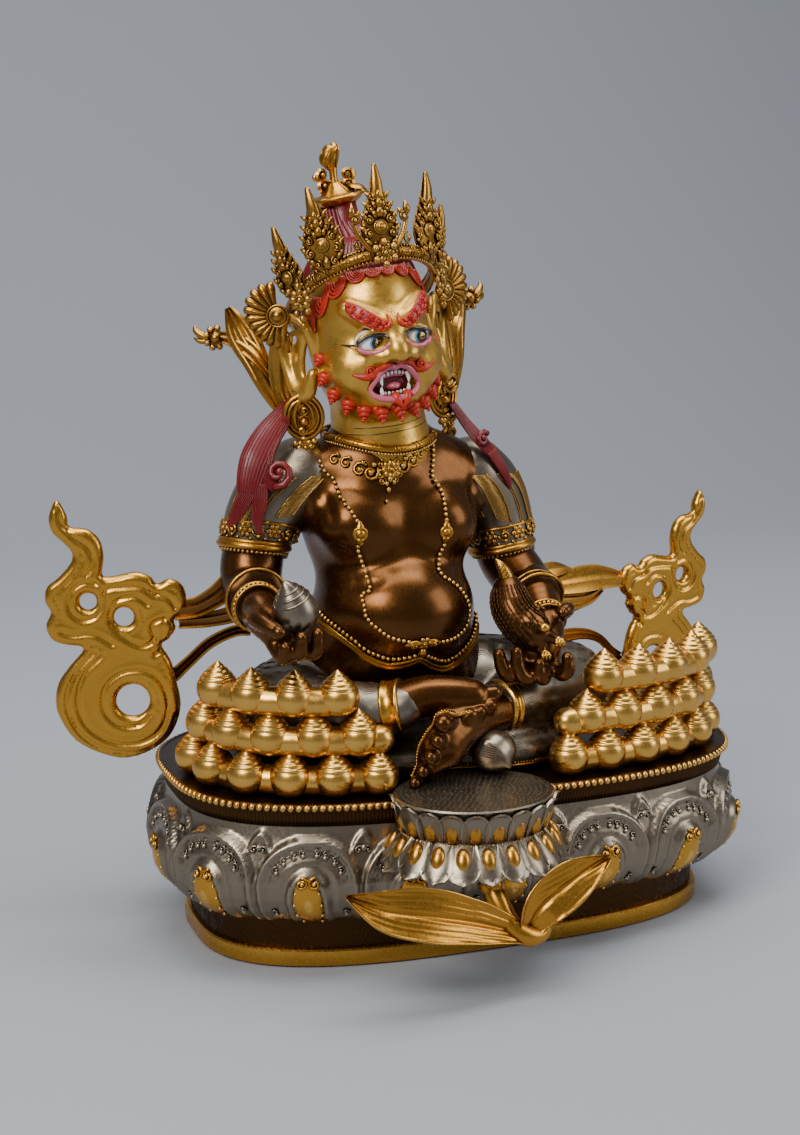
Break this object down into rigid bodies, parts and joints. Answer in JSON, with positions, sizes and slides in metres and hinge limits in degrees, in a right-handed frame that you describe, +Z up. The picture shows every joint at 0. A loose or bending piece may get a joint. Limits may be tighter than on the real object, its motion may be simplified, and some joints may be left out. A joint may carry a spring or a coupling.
{
  "type": "jambhala statue",
  "caption": "Seated wealth deity in gilt and silvered copper on an oval lotus base, with jewel heaps, scarf scrolls and a small lotus for the foot.",
  "frame": {"origin": "centre of the base's underside", "axes": "+Z up, the figure faces -Y, its right hand is towards -X"},
  "size_m": [0.4054, 0.2508, 0.4304],
  "materials": {
    "bronze": "polished dark copper brown",
    "gilt": "gilded, with brown in the recesses",
    "silvered": "silvered copper with brown in the recesses",
    "red_paint": "satin red paint"
  },
  "bodies": {
    "root": {"lotus_base": "silvered", "figure": "bronze", "crown": "gilt", "topknot": "red_paint", "earring_right": "gilt", "earring_left": "gilt", "scarf_scroll_right": "gilt", "scarf_scroll_left": "gilt", "jewel_heap_right": "gilt", "jewel_heap_left": "gilt", "wish_jewel": "silvered", "mongoose": "bronze", "conch": "silvered", "footrest_lotus": "silvered", "stem_and_leaves": "gilt"}
  },
  "joints": []
}
